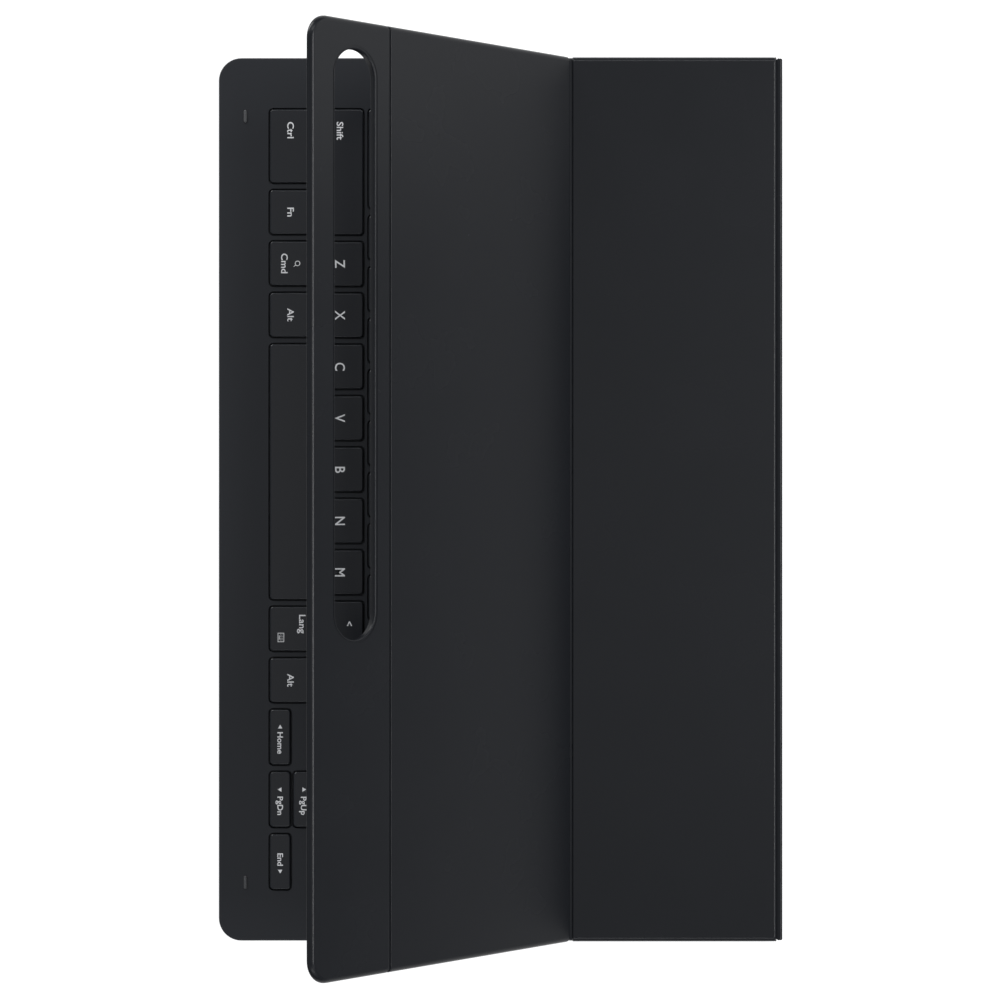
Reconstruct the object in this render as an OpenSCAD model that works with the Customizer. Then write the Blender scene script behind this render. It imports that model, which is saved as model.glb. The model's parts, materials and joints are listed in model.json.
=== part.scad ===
// Folio keyboard case for a large slate tablet.
// A thin keyboard deck, a flexible spine, and a cover in three stiff panels:
// the leg, the main panel and the camera flap with its long pen slot.
// X runs along the key rows, Y towards the spine, Z up.
// The origin is the centre of the deck's underside.
// The cover is drawn half open: the leg lies over the rear of the deck,
// and the main panel and flap are lifted about the middle fold.

/* [Deck] */
// Width of the keyboard deck
deck_w = 329; // [270:1:400]
// Depth of the keyboard deck, front edge to rear face
deck_d = 206.8; // [172:0.1:250]
// Thickness of the keyboard deck
deck_h = 4.9; // [4.6:0.1:8]
// Radius of the deck's two front corners
deck_corner_r = 8.4; // [3:0.1:12]
// Radius of the deck's two rear corners
deck_rear_r = 1.2; // [0.5:0.1:3]
// Thickness of the skin under the deck
sole_t = 0.6; // [0.4:0.1:1]
// Thickness of the bottom cover's floor
floor_t = 0.8; // [0.6:0.1:1.5]
// Thickness of the bottom cover's side wall
wall_t = 2; // [1.2:0.1:4]
// Thickness of the top case
top_t = 1.2; // [1:0.1:1.6]

/* [Keys] */
// Deck left free at each side of the key rows
side_margin = 19.2; // [10:0.1:30]
// Deck left free in front of the key rows
front_margin = 19.1; // [12:0.1:30]
// Gap between two keys of a row
key_gap = 2.7; // [2:0.1:4]
// Distance from one key row to the next
row_pitch = 18.4; // [17.9:0.1:22]
// Depth of a full-size key
key_d = 16.4; // [14:0.1:16.6]
// Gap between the two half-depth arrow keys
arrow_gap = 1.1; // [1:0.1:2]
// Depth of a function key
function_d = 7.7; // [7:0.1:12]
// Radius of a keycap's corners
key_r = 1.3; // [0.5:0.1:3]
// Free space between a keycap and its opening
key_clear = 0.45; // [0.3:0.05:0.5]
// How far a keycap stands above the top case
key_proud = 0.5; // [0:0.1:1]
// Height of a keycap
cap_h = 1.3; // [1:0.1:1.5]
// Thickness of a keycap's top
cap_top_t = 0.6; // [0.4:0.1:0.9]
// Thickness of a keycap's skirt
cap_wall = 0.9; // [0.6:0.1:1.5]

/* [Key mechanism] */
// Thickness of the steel support plate
plate_t = 0.3; // [0.2:0.05:0.4]
// Thickness of the switch membrane
membrane_t = 0.25; // [0.15:0.05:0.3]
// Gap between stacked layers
layer_gap = 0.05; // [0.02:0.01:0.08]
// Width of a scissor lever frame
lever_w = 13; // [10:0.5:13]
// Depth of a scissor lever frame under a full-size key
lever_d = 10; // [9:0.5:11]
// Width of one bar of a lever frame
lever_bar = 0.7; // [0.5:0.1:0.8]
// Thickness of a folded lever
lever_t = 0.3; // [0.2:0.05:0.35]
// Radius of a rubber dome's foot
dome_foot_r = 2.8; // [1.5:0.1:2.9]
// Height of a fully pressed rubber dome
dome_h = 0.35; // [0.2:0.05:0.35]
// Radius of the stabiliser wire
wire_r = 0.3; // [0.2:0.05:0.3]
// Length of a stabiliser wire's arms
wire_arm = 4; // [2:0.5:6]

/* [Dock] */
// Free deck between the function keys and the dock groove
dock_offset = 2.2; // [1.5:0.1:5]
// Width of the groove that the tablet's edge stands in
groove_w = 7; // [6.5:0.1:9]
// Deck left free at each end of the groove
groove_end = 33.5; // [15:0.5:60]
// Depth of the groove
groove_h = 0.5; // [0.3:0.05:0.6]
// Width of the contact block
block_w = 26; // [16:0.5:40]
// Depth of the contact block
block_d = 4.6; // [3.5:0.1:5.5]
// Number of contact pins
pin_count = 4; // [2:1:4]
// Distance between contact pins
pin_pitch = 4.5; // [3:0.1:4.8]
// Radius of a contact pin
pin_r = 0.6; // [0.4:0.05:0.8]
// Radius of the collar that keeps a pin in its block
collar_r = 0.95; // [0.9:0.05:1.2]
// Free space round a contact pin
pin_clear = 0.05; // [0.03:0.01:0.1]
// Travel of the contact pins
pin_travel = 0.5; // [0.3:0.05:0.6]
// Length of the hole that guides a contact pin
pin_guide = 1.3; // [1.1:0.05:1.4]
// Length of a dock magnet
dock_magnet_l = 22; // [10:1:26]
// Width of a dock magnet
dock_magnet_w = 4; // [2:0.5:5]

/* [Electronics] */
// Width of the controller board
board_w = 74; // [40:1:90]
// Depth of the controller board
board_d = 26; // [15:1:30]
// Thickness of the controller board
board_h = 0.7; // [0.5:0.1:0.8]
// Height of the chips on the controller board
chip_h = 0.6; // [0.3:0.1:0.7]
// Width of the ribbon from the dock to the board
ribbon_w = 12; // [6:1:20]
// Thickness of the ribbon
ribbon_t = 0.15; // [0.1:0.05:0.2]

/* [Screws and bumpers] */
// Distance between two case screws of a row
screw_pitch = 60; // [40:1:62]
// Radius of a case screw's shank
screw_r = 0.6; // [0.5:0.05:0.8]
// Radius of a case screw's head
screw_head_r = 1.5; // [1.2:0.1:2]
// Height of a case screw's head
screw_head_h = 0.45; // [0.3:0.05:0.5]
// Radius of the bosses that the case screws bite in
boss_r = 1.8; // [1.5:0.1:3]
// Length of a screen bumper
bumper_l = 4.8; // [3:0.1:8]
// Width of a screen bumper
bumper_w = 1.2; // [0.8:0.1:2]
// How far a screen bumper stands above the top case
bumper_proud = 0.5; // [0.2:0.1:1]
// Distance from the deck's front edge to the bumpers
bumper_front = 9.9; // [6:0.1:12]
// Distance from the deck's side edges to the bumpers
bumper_side = 21.8; // [12:0.1:40]

/* [Cover] */
// How far each end of the cover stays inside the deck's ends
cover_inset = 0.9; // [0:0.1:4]
// Thickness of the cover's outer skin
skin_t = 0.6; // [0.4:0.1:0.8]
// Thickness of the stiff boards inside the cover
stiff_t = 1; // [0.8:0.1:2]
// Thickness of the cover's soft lining
lining_t = 0.6; // [0.4:0.1:0.8]
// Width of the skin turned round the panels' edges
hem_w = 1.1; // [0.8:0.1:2]
// Free space round a stiff board
board_clear = 0.15; // [0.1:0.05:0.3]
// Space between the deck and the closed cover, for the tablet
tablet_gap = 6.7; // [5:0.1:9]
// Distance from the cover's hinge line to the middle fold
leg_len = 77.55; // [50:0.05:100]
// Distance from the flap's fold to its free edge
flap_len = 37; // [31:0.1:50]
// How far the closed cover's free edge stays behind the deck's front
front_setback = 0.55; // [0:0.05:3]
// Radius of the cover's free corners
cover_corner_r = 8.4; // [3:0.1:12]
// Angle by which the main panel and flap are lifted
lift_angle = 46.4; // [0:0.1:90]

/* [Folds] */
// Width of the skin left bare of board at the middle fold
fold_gap = 1.6; // [1.2:0.1:3]
// Depth of the middle fold's line under the outer face
fold_depth = 0.5; // [0.4:0.05:0.55]
// Width of the flap's fold
flap_gap = 0.8; // [0.6:0.1:1.5]
// Depth of the flap fold's line under the outer face
flap_depth = 0.3; // [0.25:0.05:0.35]
// Thickness of the bare skin at a fold
web_t = 0.5; // [0.3:0.05:0.6]

/* [Pen slot] */
// Length of the rounded slot in the flap
slot_l = 201.4; // [60:0.1:220]
// Width of the slot
slot_w = 18.5; // [12:0.1:19]
// Distance from the flap's free edge to the slot
slot_edge = 11.2; // [4:0.1:11.5]
// Distance from the panel's left end to the slot
slot_end = 10.1; // [4:0.1:30]

/* [Magnets] */
// Length of a cover magnet
magnet_l = 24; // [10:1:26]
// Width of a cover magnet
magnet_w = 8; // [4:0.5:12]
// Free space round a cover magnet
magnet_clear = 0.1; // [0.05:0.05:0.2]

/* [Spine] */
// Thickness of the spine's outer skin
spine_skin_t = 0.5; // [0.4:0.1:0.8]
// Thickness of the spine's core strip
spine_core_t = 0.8; // [0.5:0.1:1.2]
// Thickness of the spine's lining
spine_lining_t = 0.4; // [0.3:0.1:0.6]
// Gap between the deck's rear face and the spine
spine_gap = 0.75; // [0.5:0.05:2]
// How far each end of the spine stays inside the cover's ends
spine_inset = 0.3; // [0:0.1:5]
// Height of the deck's hinge line
deck_hinge_z = 1.5; // [1.4:0.1:2]
// Depth of the cover's hinge line under the outer face
leg_hinge_depth = 1.3; // [1:0.1:1.4]
// Bare skin between the spine's core and each hinge line
spine_bare = 1.05; // [1:0.05:1.5]
// Bare skin between the cover's hinge line and the leg
leg_bare = 1.25; // [1:0.05:2]

/* [Hidden] */
$fn = 48;
eps = 0.01;

skin_colour = "#2b2c2f";
lining_colour = "#3a3b3f";
case_colour = "#27282a";
cap_colour = "#2c2d2f";
steel_colour = "#b9bcc0";
magnet_colour = "#9a9da2";
rubber_colour = "#d8d8d4";
lever_colour = "#303134";
board_colour = "#1d5b3a";
gold_colour = "#cfa84a";
stiff_colour = "#6d6a60";

// Levels of the deck's layers, from its underside
floor_z = sole_t + floor_t;
case_z = deck_h - top_t;
plate_z = floor_z + layer_gap;
membrane_z = plate_z + plate_t + layer_gap;
lever_z = membrane_z + membrane_t + layer_gap;
cap_z = deck_h + key_proud - cap_h;

// Key widths, in key units. Every row adds up to row_units
row_units = 15.32;
front_row = [1.57, 1, 1, 1, 5.11, 1, 1, 1.213, 1.213, 1.214];
shift_row = [2.58, 1, 1, 1, 1, 1, 1, 1, 1, 1, 1, 2.74];
home_row = [2.07, 1, 1, 1, 1, 1, 1, 1, 1, 1, 1, 1, 2.25];
letter_row = [1.82, 1, 1, 1, 1, 1, 1, 1, 1, 1, 1, 1, 1, 1.5];
number_row = [1.32, 1, 1, 1, 1, 1, 1, 1, 1, 1, 1, 1, 1, 2];
function_count = 15;
function_row = [for (i = [1 : function_count]) row_units / function_count];

key_field_w = deck_w - 2 * side_margin;
key_unit = (key_field_w + key_gap) / row_units;
arrow_d = (key_d - arrow_gap) / 2;
first_arrow = 7;
field_front = -deck_d / 2 + front_margin;
function_front = field_front + 5 * row_pitch;
field_rear = function_front + function_d;

// Each key is [left edge, front edge, width, depth], to a hundredth of a millimetre
function snap(v) = round(v * 100) / 100;
function key_left_x(row, i) =
    i == 0 ? -key_field_w / 2 : key_left_x(row, i - 1) + row[i - 1] * key_unit;
function key_at(row, i, front, d) =
    [snap(key_left_x(row, i)), snap(front), snap(row[i] * key_unit - key_gap), snap(d)];
function keys_of(row, front, d, first = 0, last = -1) =
    [for (i = [first : (last < 0 ? len(row) - 1 : last)]) key_at(row, i, front, d)];

front_full_keys = keys_of(front_row, field_front, key_d, 0, first_arrow - 1);
front_arrows = keys_of(front_row, field_front, arrow_d, first_arrow);
up_key = key_at(front_row, first_arrow + 1, field_front + arrow_d + arrow_gap, arrow_d);
front_keys = concat(front_full_keys, front_arrows, [up_key]);
shift_keys = keys_of(shift_row, field_front + row_pitch, key_d);
home_keys = keys_of(home_row, field_front + 2 * row_pitch, key_d);
letter_keys = keys_of(letter_row, field_front + 3 * row_pitch, key_d);
number_keys = keys_of(number_row, field_front + 4 * row_pitch, key_d);
function_keys = keys_of(function_row, function_front, function_d);
all_keys = concat(front_keys, shift_keys, home_keys, letter_keys, number_keys,
                  function_keys);
stabilised_keys = [
    front_keys[4], shift_keys[0], shift_keys[11], home_keys[12], number_keys[13]
];

// The key mechanism
lever_side = 3;
lever_front = 2.4;
lever_slack = 0.2;
dome_slack = 0.15;
dome_taper = 0.65;
bar_side = 4;
bar_front = 2.2;
plate_margin = 1.4;
plate_r = 2;

// The dock and the bay behind it
dock_y = field_rear + dock_offset + groove_w / 2;
groove_l = deck_w - 2 * groove_end;
groove_r = 1.75;
block_top = deck_h - groove_h;
block_clear = 0.1;
collar_h = 0.4;
pin_proud = 0.6;
pin_tip_z = block_top + pin_proud;
pin_spare = 0.25;
shoulder_z = block_top - pin_guide;
chamber_z = shoulder_z - collar_h - pin_travel - pin_spare;
bay_front = dock_y + groove_w / 2 + 2;
bay_board_y = bay_front + 16;
bay_board_z = floor_z + 0.5;
magnet_h = 1.4;
dock_magnet_end = 31;
dock_magnet_gap = 18;
chips = [[-24, 8, 9], [0, 12, 12], [22, 6, 8]];
tail_x = -58;
tail_w = 24;
tail_overlap = 6;
tail_clear = 1;
bay_rib_w = 0.9;

// The case screws and bumpers
screws_a_row = 5;
screw_clear = 0.02;
screw_hole_r = screw_r + 0.2;
head_clear = 0.1;
screw_bite = 0.5;
screw_rows_y = [-deck_d / 2 + 7.4, deck_d / 2 - 9];
bumper_sink = 0.4;

// The cover, laid flat over the closed deck
cover_w = deck_w - 2 * cover_inset;
cover_t = skin_t + stiff_t + lining_t;
cover_z = deck_h + tablet_gap;
cover_top = cover_z + cover_t;
spine_t = spine_skin_t + spine_core_t + spine_lining_t;
spine_y = deck_d / 2 + spine_gap + spine_t / 2;
leg_hinge_z = cover_top - leg_hinge_depth;
mid_y = spine_y - leg_len;
mid_z = cover_top - fold_depth;
cover_front = -deck_d / 2 + front_setback;
flap_y = cover_front + flap_len;
leg_rear = spine_y - leg_bare;
leg_front = mid_y + fold_gap / 2;
main_rear = mid_y - fold_gap / 2;
main_front = flap_y + flap_gap / 2;
flap_rear = flap_y - flap_gap / 2;
web_gap = 0.04;
spine_w = cover_w - 2 * spine_inset;
magnet_h_cover = stiff_t - 0.1;
main_magnet_end = 43.2;
main_magnet_inner = 45;
main_magnet_fold = 16;
flap_magnet_count = 2;

// Quarter of a disc, its square corner at a point and its round side towards sx, sy
module quarter(x, y, sx, sy, r) {
    translate([x, y]) intersection() {
        circle(r);
        translate([min(sx, 0) * 2 * r, min(sy, 0) * 2 * r]) square(2 * r);
    }
}

// Rectangle between two corners, with its own radius for each end's pair of corners
module rounded(x0, y0, x1, y1, r_front, r_rear) {
    translate([x0, y0 + r_front]) square([x1 - x0, y1 - y0 - r_front - r_rear]);
    translate([x0 + r_front, y0]) square([x1 - x0 - 2 * r_front, r_front]);
    translate([x0 + r_rear, y1 - r_rear]) square([x1 - x0 - 2 * r_rear, r_rear]);
    quarter(x0 + r_front, y0 + r_front, -1, -1, r_front);
    quarter(x1 - r_front, y0 + r_front, 1, -1, r_front);
    quarter(x0 + r_rear, y1 - r_rear, -1, 1, r_rear);
    quarter(x1 - r_rear, y1 - r_rear, 1, 1, r_rear);
}

module block(x0, y0, z0, x1, y1, z1) {
    translate([x0, y0, z0]) cube([x1 - x0, y1 - y0, z1 - z0]);
}

// Box of a width, centred on X
module bar(w, y0, z0, y1, z1) {
    block(-w / 2, y0, z0, w / 2, y1, z1);
}

// Outline of the deck, drawn in by an inset
module deck_outline(inset = 0) {
    rounded(-deck_w / 2 + inset, -deck_d / 2 + inset, deck_w / 2 - inset, deck_d / 2 - inset,
            deck_corner_r - min(inset, deck_corner_r - 1), max(deck_rear_r - inset, 0.4));
}

// Outline of a key, grown by a margin
module key_outline(key, grow = 0) {
    rounded(key[0] - grow, key[1] - grow, key[0] + key[2] + grow, key[1] + key[3] + grow,
            key_r + grow, key_r + grow);
}

module at_screws() {
    for (i = [0 : screws_a_row - 1], y = screw_rows_y)
        translate([(i - (screws_a_row - 1) / 2) * screw_pitch, y, 0]) children();
}

module at_bumpers() {
    for (side = [-1, 1])
        translate([side * (deck_w / 2 - bumper_side), -deck_d / 2 + bumper_front, 0])
            children();
}

module at_pins() {
    for (i = [0 : pin_count - 1])
        translate([(i - (pin_count - 1) / 2) * pin_pitch, dock_y, 0]) children();
}

module bottom_skin() color(skin_colour) {
    linear_extrude(sole_t) deck_outline();
}

module bottom_cover() color(case_colour) difference() {
    translate([0, 0, sole_t]) linear_extrude(case_z - sole_t) deck_outline();
    difference() {
        translate([0, 0, floor_z]) linear_extrude(case_z) deck_outline(wall_t);
        bay_rib();
    }
    at_screws() {
        translate([0, 0, sole_t - eps]) cylinder(h = floor_t + 2 * eps, r = screw_hole_r);
        translate([0, 0, sole_t - eps])
            cylinder(h = screw_head_h + head_clear + eps, r = screw_head_r + head_clear);
    }
}

// Rib between the keys and the dock, open for the membrane's tail
module bay_rib() {
    rib_y = field_rear + key_clear + plate_margin;
    difference() {
        bar(deck_w - 2 * wall_t + 2 * eps, rib_y, floor_z - eps, rib_y + bay_rib_w, case_z);
        block(tail_x - tail_clear, rib_y - 1, floor_z, tail_x + tail_w + tail_clear,
              rib_y + bay_rib_w + 1, case_z + 1);
    }
}

module top_case() color(case_colour) difference() {
    union() {
        translate([0, 0, case_z]) linear_extrude(top_t) deck_outline();
        at_screws() translate([0, 0, floor_z]) cylinder(h = case_z - floor_z + eps, r = boss_r);
    }
    translate([0, 0, case_z - 1])
        linear_extrude(top_t + 2) for (key = all_keys) key_outline(key, key_clear);
    translate([0, 0, block_top])
        linear_extrude(groove_h + 1)
            rounded(-groove_l / 2, dock_y - groove_w / 2, groove_l / 2, dock_y + groove_w / 2,
                    groove_r, groove_r);
    bar(block_w + 2 * block_clear, dock_y - block_d / 2 - block_clear, case_z - 1,
        dock_y + block_d / 2 + block_clear, deck_h);
    at_bumpers() translate([0, 0, deck_h - bumper_sink]) linear_extrude(1) bumper_outline();
    at_screws() translate([0, 0, floor_z - eps])
        cylinder(h = case_z - floor_z + screw_bite, r = screw_r + screw_clear);
}

module bumper_outline() {
    straight = bumper_l - bumper_w;
    square([straight, bumper_w], center = true);
    for (side = [-1, 1]) translate([side * straight / 2, 0]) circle(bumper_w / 2);
}

module screen_bumpers() color("#1b1c1d") {
    at_bumpers() translate([0, 0, deck_h - bumper_sink])
        linear_extrude(bumper_sink + bumper_proud) bumper_outline();
}

module case_screws() color(steel_colour) {
    at_screws() {
        translate([0, 0, sole_t]) cylinder(h = screw_head_h, r = screw_head_r);
        translate([0, 0, sole_t])
            cylinder(h = case_z + screw_bite - sole_t - 2 * head_clear, r = screw_r);
    }
}

module key_field(z, h) {
    translate([0, 0, z]) linear_extrude(h)
        rounded(-key_field_w / 2 - plate_margin, field_front - plate_margin,
                key_field_w / 2 + plate_margin, field_rear + plate_margin - layer_gap,
                plate_r, plate_r);
}

module support_plate() color(steel_colour) {
    key_field(plate_z, plate_t);
}

module membrane_sheet() color("#26282b") {
    key_field(membrane_z, membrane_t);
    block(tail_x, field_rear, membrane_z, tail_x + tail_w,
          bay_board_y - board_d / 2 - 2 * layer_gap, membrane_z + membrane_t);
}

// Width and depth of a key's outer lever frame
function lever_size(key) =
    [min(lever_w, key[2] - lever_side), min(lever_d, key[3] - lever_front)];
function dome_r(key) =
    min(dome_foot_r, lever_size(key)[1] / 2 - 2 * lever_bar - lever_slack - dome_slack);

module at_key(key, z) {
    translate([key[0] + key[2] / 2, key[1] + key[3] / 2, z]) children();
}

module lever_frame(w, d) {
    linear_extrude(lever_t) difference() {
        square([w, d], center = true);
        square([w - 2 * lever_bar, d - 2 * lever_bar], center = true);
    }
}

module scissor_levers() color(lever_colour) {
    inner = 2 * lever_bar + 2 * lever_slack;
    for (key = all_keys) at_key(key, lever_z) {
        lever_frame(lever_size(key)[0], lever_size(key)[1]);
        lever_frame(lever_size(key)[0] - inner, lever_size(key)[1] - inner);
    }
}

module rubber_domes() color(rubber_colour) {
    for (key = all_keys) at_key(key, membrane_z + membrane_t)
        cylinder(h = dome_h, r1 = dome_r(key), r2 = dome_r(key) * dome_taper);
}

module stabiliser_bars() color(steel_colour) {
    for (key = stabilised_keys) at_key(key, lever_z + wire_r + layer_gap) {
        reach = key[2] / 2 - bar_side;
        back = -key[3] / 2 + bar_front;
        translate([-reach, back, 0]) rotate([0, 90, 0]) cylinder(h = 2 * reach, r = wire_r);
        for (x = [-reach, reach]) {
            translate([x, back, 0]) sphere(wire_r);
            translate([x, back, 0]) rotate([-90, 0, 0]) cylinder(h = wire_arm, r = wire_r);
        }
    }
}

module controller_board() color(board_colour) {
    bar(board_w, bay_board_y - board_d / 2, bay_board_z, bay_board_y + board_d / 2,
        bay_board_z + board_h);
    for (chip = chips) translate([chip[0], bay_board_y, bay_board_z + board_h - eps])
        linear_extrude(chip_h) square([chip[1], chip[2]], center = true);
}

module ribbon_cable() color("#c77b30") {
    bar(ribbon_w, dock_y + block_d / 2 + layer_gap, floor_z + layer_gap,
        bay_board_y - board_d / 2 + tail_overlap, floor_z + layer_gap + ribbon_t);
}

module dock_block() color("#1f2022") difference() {
    bar(block_w, dock_y - block_d / 2, floor_z + layer_gap, dock_y + block_d / 2, block_top);
    at_pins() {
        translate([0, 0, chamber_z]) cylinder(h = deck_h, r = pin_r + pin_clear);
        translate([0, 0, chamber_z])
            cylinder(h = shoulder_z - chamber_z, r = collar_r + pin_clear);
    }
}

module contact_pins() color(gold_colour) {
    at_pins() {
        translate([0, 0, shoulder_z - collar_h])
            cylinder(h = pin_tip_z - shoulder_z + collar_h, r = pin_r);
        translate([0, 0, shoulder_z - collar_h]) cylinder(h = collar_h - eps, r = collar_r);
    }
}

// Dock magnets, two at each side of the contact block
module dock_magnets() color(magnet_colour) {
    outer_x = groove_l / 2 - dock_magnet_end;
    for (side = [-1, 1], i = [0, 1])
        translate([side * (outer_x - i * (dock_magnet_l + dock_magnet_gap)), 0, 0])
            bar(dock_magnet_l, dock_y - dock_magnet_w / 2, case_z - magnet_h - layer_gap,
                dock_y + dock_magnet_w / 2, case_z - layer_gap);
}

module keycap(key) color(cap_colour) difference() {
    translate([0, 0, cap_z]) linear_extrude(cap_h) key_outline(key);
    translate([0, 0, cap_z - 1]) linear_extrude(cap_h + 1 - cap_top_t)
        key_outline(key, -cap_wall);
}

module key_row(keys) {
    for (key = keys) keycap(key);
}

module spine_layer(y0, t) {
    bar(spine_w, y0, deck_hinge_z + spine_bare, y0 + t, leg_hinge_z - spine_bare);
}

module spine_lining() color(lining_colour) {
    spine_layer(spine_y - spine_t / 2, spine_lining_t);
}

module spine_core() color(stiff_colour) {
    spine_layer(spine_y - spine_t / 2 + spine_lining_t, spine_core_t);
}

module spine_skin() color(skin_colour) {
    spine_layer(spine_y + spine_t / 2 - spine_skin_t, spine_skin_t);
}

// Bare skin round a hinge line: one arm to the panel in front, one along the spine
module corner_web(y_from, z_axis, z_to) {
    translate([-spine_w / 2, spine_y, z_axis]) rotate([0, 90, 0])
        cylinder(h = spine_w, r = web_t / 2);
    bar(spine_w, y_from, z_axis - web_t / 2, spine_y, z_axis + web_t / 2);
    bar(spine_w, spine_y - web_t / 2, min(z_axis, z_to), spine_y + web_t / 2,
        max(z_axis, z_to));
}

module deck_hinge_web() color(skin_colour) {
    corner_web(deck_d / 2 + web_gap, deck_hinge_z, deck_hinge_z + spine_bare - web_gap);
}

module leg_hinge_web() color(skin_colour) {
    corner_web(leg_rear + web_gap, leg_hinge_z, leg_hinge_z - spine_bare + web_gap);
}

// Turns what is drawn on the closed cover up about the middle fold
module lifted() {
    translate([0, mid_y, mid_z]) rotate([-lift_angle, 0, 0])
        translate([0, -mid_y, -mid_z]) children();
}

module panel_outline(front, rear, r_front, inset_front = 0, inset_rear = 0, inset_side = 0) {
    rounded(-cover_w / 2 + inset_side, front + inset_front, cover_w / 2 - inset_side,
            rear - inset_rear, max(r_front - inset_side, 0.5), 0.5);
}

// Outer skin of a panel with its edges turned down round the board
module panel_skin(front, rear, r_front, hem_front, hem_rear) {
    difference() {
        translate([0, 0, cover_z + lining_t]) linear_extrude(stiff_t + skin_t)
            panel_outline(front, rear, r_front);
        translate([0, 0, cover_z]) linear_extrude(lining_t + stiff_t)
            panel_outline(front, rear, r_front, hem_front, hem_rear, hem_w);
    }
}

module panel_board(front, rear, r_front, hem_front, hem_rear) {
    translate([0, 0, cover_z + lining_t]) linear_extrude(stiff_t)
        panel_outline(front, rear, r_front, hem_front + board_clear, hem_rear + board_clear,
                      hem_w + board_clear);
}

module panel_lining(front, rear, r_front) {
    translate([0, 0, cover_z]) linear_extrude(lining_t) panel_outline(front, rear, r_front);
}

module slot(grow = 0, z = cover_z - 1, h = cover_t + 2) {
    slot_y = cover_front + slot_edge + slot_w / 2;
    slot_x = -cover_w / 2 + slot_end + slot_l / 2;
    straight = slot_l - slot_w;
    translate([slot_x, slot_y, z]) linear_extrude(h) {
        square([straight, slot_w + 2 * grow], center = true);
        for (side = [-1, 1]) translate([side * straight / 2, 0]) circle(slot_w / 2 + grow);
    }
}

module magnet(x, y, slack = 0) {
    translate([x - magnet_l / 2 - slack, y - magnet_w / 2 - slack, cover_z + lining_t])
        cube([magnet_l + 2 * slack, magnet_w + 2 * slack, magnet_h_cover + slack]);
}

module at_main_magnets(slack = 0) {
    for (side = [-1, 1], x = [main_magnet_inner, cover_w / 2 - main_magnet_end],
         y = [main_front + main_magnet_fold, main_rear - main_magnet_fold])
        magnet(side * x, y, slack);
}

// Flap magnets, spaced evenly between the slot and the panel's right end
module at_flap_magnets(slack = 0) {
    slot_right = -cover_w / 2 + slot_end + slot_l;
    spacing = (cover_w / 2 - slot_right + magnet_l) / (flap_magnet_count + 1);
    for (i = [1 : flap_magnet_count])
        magnet(slot_right - magnet_l / 2 + i * spacing, (cover_front + flap_y) / 2, slack);
}

module leg_skin() color(skin_colour) {
    panel_skin(leg_front, leg_rear, 0.5, hem_w, hem_w);
}

module leg_board() color(stiff_colour) {
    panel_board(leg_front, leg_rear, 0.5, hem_w, hem_w);
}

module leg_lining() color(lining_colour) {
    panel_lining(leg_front, leg_rear, 0.5);
}

module main_skin() color(skin_colour) lifted() {
    panel_skin(main_front, main_rear, 0.5, hem_w, hem_w);
}

module main_board() color(stiff_colour) lifted() difference() {
    panel_board(main_front, main_rear, 0.5, hem_w, hem_w);
    at_main_magnets(magnet_clear);
}

module main_lining() color(lining_colour) lifted() {
    panel_lining(main_front, main_rear, 0.5);
}

module main_magnets() color(magnet_colour) lifted() {
    at_main_magnets();
}

module flap_skin() color(skin_colour) lifted() difference() {
    union() {
        panel_skin(cover_front, flap_rear, cover_corner_r, hem_w, hem_w);
        slot(hem_w, cover_z + lining_t, stiff_t + eps);
    }
    slot();
}

module flap_board() color(stiff_colour) lifted() difference() {
    panel_board(cover_front, flap_rear, cover_corner_r, hem_w, hem_w);
    slot(hem_w + board_clear);
    at_flap_magnets(magnet_clear);
}

module flap_lining() color(lining_colour) lifted() difference() {
    panel_lining(cover_front, flap_rear, cover_corner_r);
    slot();
}

module flap_magnets() color(magnet_colour) lifted() {
    at_flap_magnets();
}

// Bare skin bridging the middle fold, half on the leg and half on the main panel
module mid_fold_web() color(skin_colour) {
    half = fold_gap / 2 - web_gap;
    translate([-cover_w / 2, mid_y, mid_z]) rotate([0, 90, 0])
        cylinder(h = cover_w, r = web_t / 2);
    bar(cover_w, mid_y, mid_z - web_t / 2, mid_y + half, mid_z + web_t / 2);
    lifted() bar(cover_w, mid_y - half, mid_z - web_t / 2, mid_y, mid_z + web_t / 2);
}

module flap_fold_web() color(skin_colour) lifted() {
    half = flap_gap / 2 - web_gap;
    axis_z = cover_top - flap_depth;
    translate([-cover_w / 2, flap_y, axis_z]) rotate([0, 90, 0])
        cylinder(h = cover_w, r = web_t / 2);
    bar(cover_w, flap_y - half, axis_z - web_t / 2, flap_y + half, axis_z + web_t / 2);
}

bottom_skin();
bottom_cover();
top_case();
support_plate();
membrane_sheet();
rubber_domes();
scissor_levers();
stabiliser_bars();
controller_board();
ribbon_cable();
dock_block();
dock_magnets();
contact_pins();
screen_bumpers();
case_screws();
spine_skin();
spine_core();
spine_lining();
deck_hinge_web();
leg_hinge_web();
leg_skin();
leg_board();
leg_lining();
mid_fold_web();
main_skin();
main_board();
main_lining();
main_magnets();
flap_fold_web();
flap_skin();
flap_board();
flap_lining();
flap_magnets();
keycap(front_keys[0]);  // key_ctrl
keycap(front_keys[1]);  // key_fn
keycap(front_keys[2]);  // key_cmd
keycap(front_keys[3]);  // key_alt_left
keycap(front_keys[4]);  // key_space
keycap(front_keys[5]);  // key_language
keycap(front_keys[6]);  // key_alt_right
keycap(front_keys[7]);  // key_left
keycap(front_keys[8]);  // key_down
keycap(front_keys[9]);  // key_right
keycap(front_keys[10]);  // key_up
keycap(shift_keys[0]);  // key_shift_left
keycap(shift_keys[1]);  // key_z
keycap(shift_keys[2]);  // key_x
keycap(shift_keys[3]);  // key_c
keycap(shift_keys[4]);  // key_v
keycap(shift_keys[5]);  // key_b
keycap(shift_keys[6]);  // key_n
keycap(shift_keys[7]);  // key_m
keycap(shift_keys[8]);  // key_comma
keycap(shift_keys[9]);  // key_period
keycap(shift_keys[10]);  // key_slash
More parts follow.
